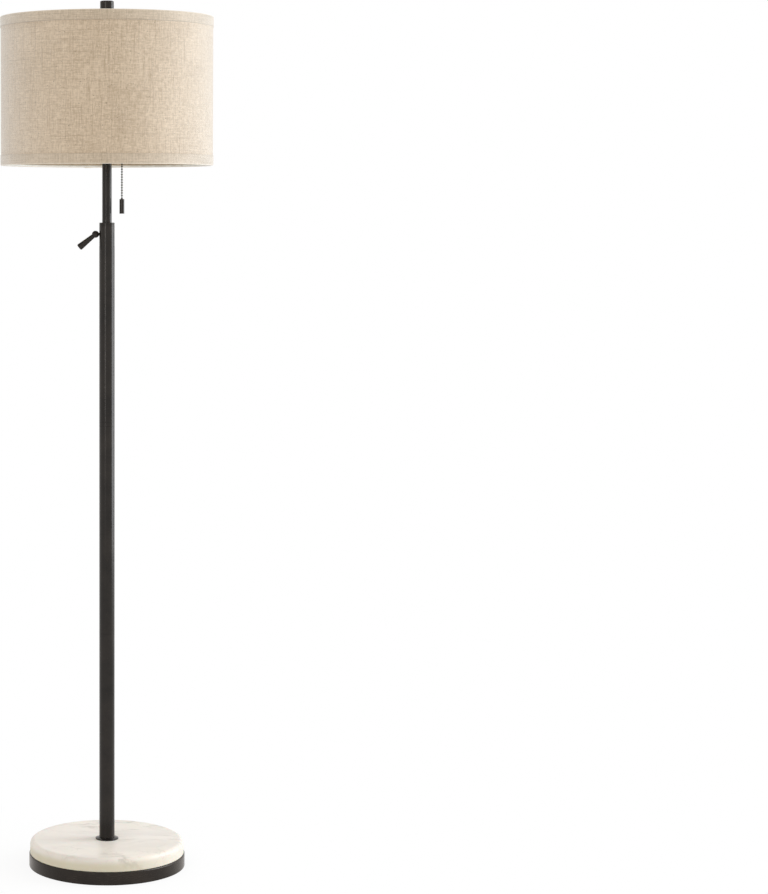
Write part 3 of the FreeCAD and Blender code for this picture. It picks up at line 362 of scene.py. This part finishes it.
linen = {
    "pale": colour(0.72, 0.570, 0.412),
    "deep": colour(0.515, 0.385, 0.252),
    "slub": colour(0.42, 0.295, 0.180),
    "nub": colour(0.84, 0.75, 0.62),
    "husk": colour(0.12, 0.075, 0.042),
    "sheen": 1.0,
    "streaks": 0.34,         # how much of the tone runs along the threads
    "mottle": 0.54,          # and how much lies in short thick places
    "slubs": 0.5,            # strength of the thick dark threads
    "husks": 0.8,            # and of the specks of straw
    "pitch": 0.00105,        # one thread to the next
    "wander": 0.0022,        # how far threads stray
    "lean": math.radians(3.5),
}


def makeWeave(name, cloth):
    material, tree, shader = newMaterial(name, Sheen_Weight=cloth["sheen"], Sheen_Roughness=0.6)
    flat = clothPoint(tree)
    laid = wander(tree, flat, 55.0, 2.0, cloth["wander"])
    axes = node(tree, "SeparateXYZ", {"Vector": laid}).outputs
    turn = math.pi / cloth["pitch"]
    across = maths(tree, "SINE", maths(tree, "MULTIPLY", axes["X"], turn))
    upright = maths(tree, "SINE", maths(tree, "MULTIPLY", axes["Y"], turn))
    over = spread(tree, maths(tree, "MULTIPLY", across, upright), -0.35, 0.35)
    warpRound = maths(tree, "ABSOLUTE", across)
    weftRound = maths(tree, "ABSOLUTE", upright)

    def threads(scale, turned, shift):  # noise drawn out along one set of threads
        drawn = node(tree, "Mapping", {"Vector": laid, "Rotation": (0, 0, turned), "Scale": scale,
                                       "Location": shift}).outputs[0]
        return noise(tree, drawn, 1.0, detail=2, roughness=0.6, dimensions="2D")

    lean = cloth["lean"]
    warpTone = threads((760, 16, 1), lean, (3, 1, 0))
    weftTone = threads((13, 760, 1), 0.0, (7, 2, 0))
    warpSlub = spread(tree, threads((310, 11, 1), lean, (1, 5, 0)), 0.60, 0.72)
    weftSlub = spread(tree, threads((9, 420, 1), 0.0, (4, 8, 0)), 0.62, 0.74)
    patches = noise(tree, flat, 16, detail=4, roughness=0.6, dimensions="2D")
    mottle = maths(tree, "ADD", threads((430, 115, 1), lean, (2, 6, 0)),
                   threads((105, 430, 1), 0.0, (5, 3, 0)))
    tone = 0.5               # each pattern adds its share, up and down from the middle
    drawn = maths(tree, "ADD", warpTone, weftTone)
    for pattern, middle, share in ((drawn, 1.0, cloth["streaks"]), (patches, 0.5, 0.25),
                                   (mottle, 1.0, cloth["mottle"])):
        part = maths(tree, "MULTIPLY", maths(tree, "SUBTRACT", pattern, middle), share)
        tone = maths(tree, "ADD", tone, part)
    look = blend(tree, spread(tree, tone, 0.34, 0.66), cloth["deep"], cloth["pale"])
    look = blend(tree, maths(tree, "MULTIPLY", warpSlub, cloth["slubs"]), look, cloth["slub"])
    look = blend(tree, maths(tree, "MULTIPLY", weftSlub, cloth["slubs"]), look, cloth["slub"])
    nubs = spread(tree, noise(tree, flat, 430, detail=1, dimensions="2D"), 0.72, 0.80)
    look = blend(tree, maths(tree, "MULTIPLY", nubs, 0.6), look, cloth["nub"])
    bits = spread(tree, noise(tree, clothPoint(tree, shift=(0.3, 0.7, 0)), 340, detail=1, dimensions="2D"),
                  0.765, 0.80)
    look = blend(tree, maths(tree, "MULTIPLY", bits, cloth["husks"]), look, cloth["husk"])
    # painted shade in the gaps between threads, and each thread is round
    heights = node(tree, "Mix", {0: over, 2: weftRound, 3: warpRound}, data_type="FLOAT").outputs[0]
    paintedGapShade = spread(tree, heights, 0.0, 0.55, 0.72, 1.0)
    look = blend(tree, 1.0, look, paintedGapShade, "MULTIPLY")
    if "hem" in cloth:       # a painted shadow along the free edge, a painted highlight along the fold
        height = objectAxes(tree)["Z"]
        away = distance(tree, height, cloth["middle"])
        line = spread(tree, distance(tree, away, cloth["hem"]), 0.0004, 0.0009, 0.30, 0.0)
        line = maths(tree, "MULTIPLY", line, spread(tree, patches, 0.35, 0.65, 0.5, 1.2))
        # the painted shadow is stronger at the upper hem than at the lower one
        line = maths(tree, "MULTIPLY", line, spread(tree, height, *cloth["between"], 0.45, 1.0))
        # the painted hem shadow takes the husks' dark colour
        look = blend(tree, line, look, cloth["husk"])
        # painted highlight along the fold, in the nubs' pale colour
        look = blend(tree, spread(tree, away, *cloth["fold"], 0.0, 0.75), look, cloth["nub"])
    thick = maths(tree, "ADD", warpSlub, weftSlub)
    raised = maths(tree, "ADD", heights, maths(tree, "MULTIPLY", thick, 0.9))
    raised = maths(tree, "ADD", raised, maths(tree, "MULTIPLY", tone, 1.2))
    plug(tree, shader, Base_Color=look, Roughness=spread(tree, tone, 0.3, 0.7, 0.95, 0.8),
         Normal=relief(tree, raised, cloth["pitch"] * 0.28, 0.8))
    return material


# the tapes are a finer cloth; middle is a height on the shade, and hem and fold lie that far from it
trimCloth = dict(linen, pitch=0.00062, lean=0.0, streaks=0.5, mottle=0.4, slubs=0.25, husks=0.5,
                 pale=colour(0.655, 0.530, 0.395), deep=colour(0.47, 0.365, 0.25),
                 slub=colour(0.36, 0.27, 0.18),
                 middle=1.308, between=(1.25, 1.36), hem=0.1066, fold=(0.1214, 0.1226))

liningSheet = {"cream": colour(0.84, 0.75, 0.60), "aged": colour(0.78, 0.675, 0.52)}


def makeLining():
    material, tree, shader = newMaterial("styreneLining", Subsurface_Weight=0.55, Subsurface_Scale=0.003)
    point = objectPoint(tree)
    fleck = noise(tree, point, 700, detail=4, roughness=0.7)
    aged = noise(tree, point, 14, detail=3)
    tone = blend(tree, spread(tree, aged, 0.35, 0.65), liningSheet["cream"], liningSheet["aged"])
    tone = blend(tree, spread(tree, fleck, 0.35, 0.7, 0.0, 0.25), tone, liningSheet["aged"])
    plug(tree, shader, Base_Color=tone, Roughness=spread(tree, fleck, 0.3, 0.7, 0.5, 0.68),
         Normal=relief(tree, fleck, 0.00004, 0.5))
    return material


# every CAD node gets the finish of its piece

finishes = {
    "tubeBronze": makeBronze("tubeBronze"),
    "turnedBronze": makeBronze("turnedBronze", polish=0.05, grain=(1, 1, 1)),
    "pullBronze": makeBronze("pullBronze", polish=0.14, grain=(1, 1, 0.2)),
    "panBronze": makeBronze("panBronze", polish=-0.04, grain=(0.2, 0.2, 1), tint=(1.0, 0.86, 0.76)),
    "antiqueBrass": makeAntiqueBrass(),
    "brass": makeBareMetal("brass", *bareMetals["brass"], 0.26),
    "threadedBrass": makeBareMetal("threadedBrass", *bareMetals["brass"], 0.3, bareMetals["lampThread"]),
    "zincSteel": makeBareMetal("zincSteel", *bareMetals["steel"], 0.32),
    "threadedSteel": makeBareMetal("threadedSteel", *bareMetals["steel"], 0.35, bareMetals["studThread"]),
    "capAluminium": makeBareMetal("capAluminium", *bareMetals["aluminium"], 0.3, bareMetals["lampThread"]),
    "whiteWire": makeWhiteWire(),
    "castIron": makeCastIron(),
    "marble": makeMarble(),
    "opalGlass": makeOpalGlass(),
    "nylon": makePlastic("nylon"),
    "moulding": makePlastic("moulding"),
    "rubber": makePlastic("rubber"),
    "linerCard": makePlastic("linerCard"),
    "felt": makeFelt(),
    "lining": makeLining(),
}
dressing = {
    "tubeBronze": ["lower_tube", "middle_tube", "upper_tube", "inner_tube", "socket_shell", "clamp_collar",
                   "lower_coupler", "upper_coupler"],
    "turnedBronze": ["foot_flange", "clamp_screw", "lever_pin", "lever_handle", "finial", "socket_cup",
                     "harp", "harp_crown", "front_sleeve", "rear_sleeve", "chain_spout", "harp_saddle",
                     "neck_fitting"],
    "pullBronze": ["pull_weight"],
    "panBronze": ["base_pan"],
    "antiqueBrass": ["pull_chain", "chain_stub", "chain_end_bead"],
    "brass": ["centre_contact", "terminal_screws"],
    "threadedBrass": ["screw_shell"],
    "zincSteel": ["base_washer", "spring_washer", "stud_nut", "saddle_nut", "bulb_contact", "foot_plug"],
    "threadedSteel": ["mount_stud", "socket_nipple"],
    "capAluminium": ["bulb_cap"],
    "whiteWire": ["top_ring", "bottom_ring", "spider_hub", "spider_arms"],
    "castIron": ["base_weight"],
    "marble": ["marble_disc"],
    "opalGlass": ["bulb_globe"],
    "nylon": ["upper_guide_bush", "lower_guide_bush", "foot_bush", "clamp_pad"],
    "moulding": ["switch_body"],
    "rubber": ["cord_grommet"],
    "linerCard": ["socket_liner"],
    "felt": ["base_pad"],
    "lining": ["shade_lining"],
}
for finish, names in dressing.items():
    for name in names:
        for slot in nodes[name].material_slots:
            slot.material = finishes[finish]
print("finishes: on", sum(len(names) for names in dressing.values()), "CAD nodes")


# the shade's cloth: one linen sheet and two folded tapes, rolled round with a lap at the rear

def rollSheet(name, section, around, lap, turned, lift=0.0):
    # section is the cloth's middle line across its width, as (radius, height), from edge to edge
    radius = max(r for r, z in section)
    length = 2 * math.pi * radius + lap["overlap"]
    run = [0.0]
    for (r0, z0), (r1, z1) in zip(section, section[1:]):
        run.append(run[-1] + math.hypot(r1 - r0, z1 - z0))
    deselectAll()
    bpy.ops.mesh.primitive_grid_add(x_subdivisions=around, y_subdivisions=len(section) - 1, size=1)
    sheet = bpy.context.object
    sheet.name = name
    mesh = sheet.data
    uv = mesh.uv_layers[0] if mesh.uv_layers else mesh.uv_layers.new()
    uv.name = "cloth"
    rows = len(section) - 1
    places = []
    for vertex in mesh.vertices:
        along = vertex.co.x + 0.5
        row = round((vertex.co.y + 0.5) * rows)
        places.append((along * length, row))
    for loop in mesh.loops:
        along, row = places[loop.vertex_index]
        uv.data[loop.index].uv = (along, run[row])
    for vertex, (along, row) in zip(mesh.vertices, places):
        before, after = section[max(row - 1, 0)], section[min(row + 1, rows)]
        dr, dz = after[0] - before[0], after[1] - before[1]
        size = math.hypot(dr, dz)
        outR, outZ = dz / size, -dr / size      # square to the section, away from what it wraps
        end = length - lap["overlap"]
        rise = min(max((along - (end - lap["ease"])) / lap["ease"], 0.0), 1.0)
        rise = rise * rise * (3 - 2 * rise) * lap["rise"]
        angle = (along - lap["overlap"] / 2) / radius + turned
        over = seamBulge(angle) * lift
        r = section[row][0] + (rise + over) * outR
        z = section[row][1] + (rise + over) * outZ
        vertex.co = (-r * math.sin(angle), r * math.cos(angle), z)
    mesh.update()
    return sheet


def seamBulge(angle):  # 1 over the linen's lap, 0 away from it
    away = abs((angle + math.pi) % (2 * math.pi) - math.pi) * linenMiddle
    reach = linenLap["overlap"] / 2
    share = min(max((reach + linenLap["ease"] - away) / linenLap["ease"], 0.0), 1.0)
    return share * share * (3 - 2 * share)


clothSizes = {
    "linenThickness": 0.00058,
    "linenSink": 0.0003,              # from the linen solid's face to the cloth's middle
    "linenRows": 48,
    "tapeThickness": 0.00066,
    "tapeTurn": math.radians(11),     # the tapes are joined beside the linen's seam
    "turnIn": 0.009,                  # how far a tape reaches in behind the lining
    "liningThickness": 0.0008,
    "clearance": 0.00003,
    "corner": 0.0005,
    "around": 360,
}
linenLap = {"overlap": 0.012, "ease": 0.006, "rise": 0.00062}
tapeLap = {"overlap": 0.010, "ease": 0.005, "rise": 0.00070}

linenBox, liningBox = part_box("linen_panel"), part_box("shade_lining")
linenMiddle = linenBox[1].x - clothSizes["linenSink"]
linenHeight = linenBox[1].z - linenBox[0].z
linenRows = clothSizes["linenRows"]
linenSection = [(linenMiddle, linenBox[0].z + linenHeight * step / linenRows)
                for step in range(linenRows + 1)]
linenSheet = rollSheet("linen_sheet", linenSection, clothSizes["around"], linenLap, 0.0)
addModifier(linenSheet, "SOLIDIFY", thickness=clothSizes["linenThickness"], offset=0.0, use_even_offset=True)


def tapeSection(trim, edgeUp):  # behind the lining, round its edge with two round corners, and back outside
    low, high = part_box(trim)
    half = clothSizes["tapeThickness"] / 2
    outer = high.x - half
    inner = liningBox[1].x - clothSizes["liningThickness"] - half - clothSizes["clearance"]
    sign = 1 if edgeUp else -1
    edge = high.z - half if edgeUp else low.z + half
    free = low.z if edgeUp else high.z
    inside = (high.z if edgeUp else low.z) - sign * clothSizes["turnIn"]
    corner = clothSizes["corner"]
    bendStart = edge - sign * corner
    section = [(inner, inside + (bendStart - inside) * step / 5) for step in range(6)]
    for step in range(1, 5):
        bend = math.pi / 2 * step / 4
        section.append((inner + corner * (1 - math.cos(bend)), bendStart + sign * corner * math.sin(bend)))
    for step in range(4):
        bend = math.pi / 2 * step / 4
        section.append((outer - corner * (1 - math.sin(bend)), bendStart + sign * corner * math.cos(bend)))
    section += [(outer, bendStart + (free - bendStart) * step / 10) for step in range(11)]
    return section[::-1] if edgeUp else section


tapes = {}
for tape, cadNode, edgeUp in (("upper_tape", "upper_trim", True), ("lower_tape", "lower_trim", False)):
    section = tapeSection(cadNode, edgeUp)
    piece = rollSheet(tape, section, clothSizes["around"], tapeLap, clothSizes["tapeTurn"],
                      lift=linenLap["rise"])
    width = sum(math.dist(a, b) for a, b in zip(section, section[1:]))
    addModifier(piece, "SOLIDIFY", thickness=clothSizes["tapeThickness"], offset=0.0, use_even_offset=True)
    tapes[tape] = (piece, cadNode, width)

cloths = [(linenSheet, "linen_panel", "linen", makeWeave("linenWeave", linen))]
trimWeave = makeWeave("trimWeave", trimCloth)
cloths += [(piece, cadNode, "linen_trim", trimWeave) for piece, cadNode, width in tapes.values()]
for piece, cadNode, slotName, material in cloths:
    piece.data.materials.clear()
    piece.data.materials.append(material)
    settle(piece)
    bpy.ops.object.shade_smooth_by_angle(angle=math.radians(40))
    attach(piece, "upper")
    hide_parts(cadNode)


# studio: white surroundings, a pale floor, a large lamp at the right and a narrow one at the front left

studio = {
    "ambient": colour(0.84, 0.825, 0.79),
    "floorPale": colour(0.86, 0.86, 0.86),
    "floorRadius": 30.0,
    "shadowShare": 0.12,              # how much of the shadow round the foot shows
    "shadowReach": (0.10, 0.42),      # it fades out between these distances from the pole
    "keyWatts": 47.0,
    "keyColour": (0.86, 0.93, 1.0),
    "keyPlace": (2.05, 0.24, 1.20),
    "keySize": (1.40, 1.9),
    "keyAim": 1.3,                    # height on the pole
    "stripWatts": 6.5,
    "stripPlace": (-1.0, -2.15, 1.25),
    "stripSize": (0.17, 1.5),
    "stripAim": 1.25,
}


def seenOrMirrored(tree):  # 1 for what the camera, a mirror or glass sees
    path = node(tree, "LightPath").outputs
    seen = maths(tree, "MAXIMUM", path["Is Camera Ray"], path["Is Glossy Ray"])
    return maths(tree, "MAXIMUM", seen, path["Is Transmission Ray"])


world = bpy.data.worlds.new("studio")
bpy.context.scene.world = world
world.use_nodes = True
tree = world.node_tree
tree.nodes.clear()
ambient = node(tree, "Background", {"Color": studio["ambient"], "Strength": 1.0})
white = node(tree, "Background", {"Color": colour(1, 1, 1), "Strength": 1.0})
mixed = node(tree, "MixShader", {0: seenOrMirrored(tree), 1: ambient.outputs[0], 2: white.outputs[0]})
node(tree, "OutputWorld", {"Surface": mixed.outputs[0]})

deselectAll()
bpy.ops.mesh.primitive_circle_add(vertices=96, radius=studio["floorRadius"], fill_type="NGON")
floor = bpy.context.object
floor.name = "floor"
material, tree, shader = newMaterial("paleFloor", Roughness=0.9, Base_Color=studio["floorPale"])
coords = node(tree, "TexCoord").outputs["Object"]
reach = node(tree, "VectorMath", {0: coords}, operation="LENGTH").outputs["Value"]
fade = spread(tree, reach, *studio["shadowReach"], 1 - studio["shadowShare"], 1.0, smooth=True)
factor = maths(tree, "MULTIPLY", seenOrMirrored(tree), fade)
glow = node(tree, "Emission", {"Color": colour(1, 1, 1), "Strength": 1.0})
both = node(tree, "MixShader", {0: factor, 1: shader.outputs[0], 2: glow.outputs[0]})
tree.links.new(both.outputs[0], tree.nodes["Material Output"].inputs["Surface"])
floor.data.materials.append(material)


def softLamp(name, watts, place, size, aimHeight):
    data = bpy.data.lights.new(name, "AREA")
    data.shape = "RECTANGLE"
    data.size, data.size_y = size
    data.energy = watts
    lamp = bpy.data.objects.new(name, data)
    bpy.context.scene.collection.objects.link(lamp)
    lamp.location = place
    direction = Vector((0, 0, aimHeight)) - lamp.location
    lamp.rotation_euler = direction.to_track_quat("-Z", "Y").to_euler()
    lamp.visible_camera = False
    return lamp


keyLamp = softLamp("keyLamp", studio["keyWatts"], studio["keyPlace"], studio["keySize"], studio["keyAim"])
keyLamp.data.color = studio["keyColour"]
softLamp("stripLamp", studio["stripWatts"], studio["stripPlace"], studio["stripSize"], studio["stripAim"])


# camera: a little above the lever's height and turned down, with the lamp at the frame's left

view = {
    "place": (0.0, -4.0, 1.108),
    "down": math.radians(3.497),
    "lens": 96.05,
    "sensor": 36.0,
    "shift": (0.3099, -0.10),
}
cameraData = bpy.data.cameras.new("camera")
cameraData.lens = view["lens"]
cameraData.sensor_width = view["sensor"]
cameraData.shift_x, cameraData.shift_y = view["shift"]
cameraData.clip_end = 100.0
camera = bpy.data.objects.new("camera", cameraData)
bpy.context.scene.collection.objects.link(camera)
camera.location = view["place"]
camera.rotation_euler = (math.pi / 2 - view["down"], 0, 0)
bpy.context.scene.camera = camera
bpy.context.scene.view_settings.view_transform = "Standard"
print("studio: floor, two lamps and the camera")
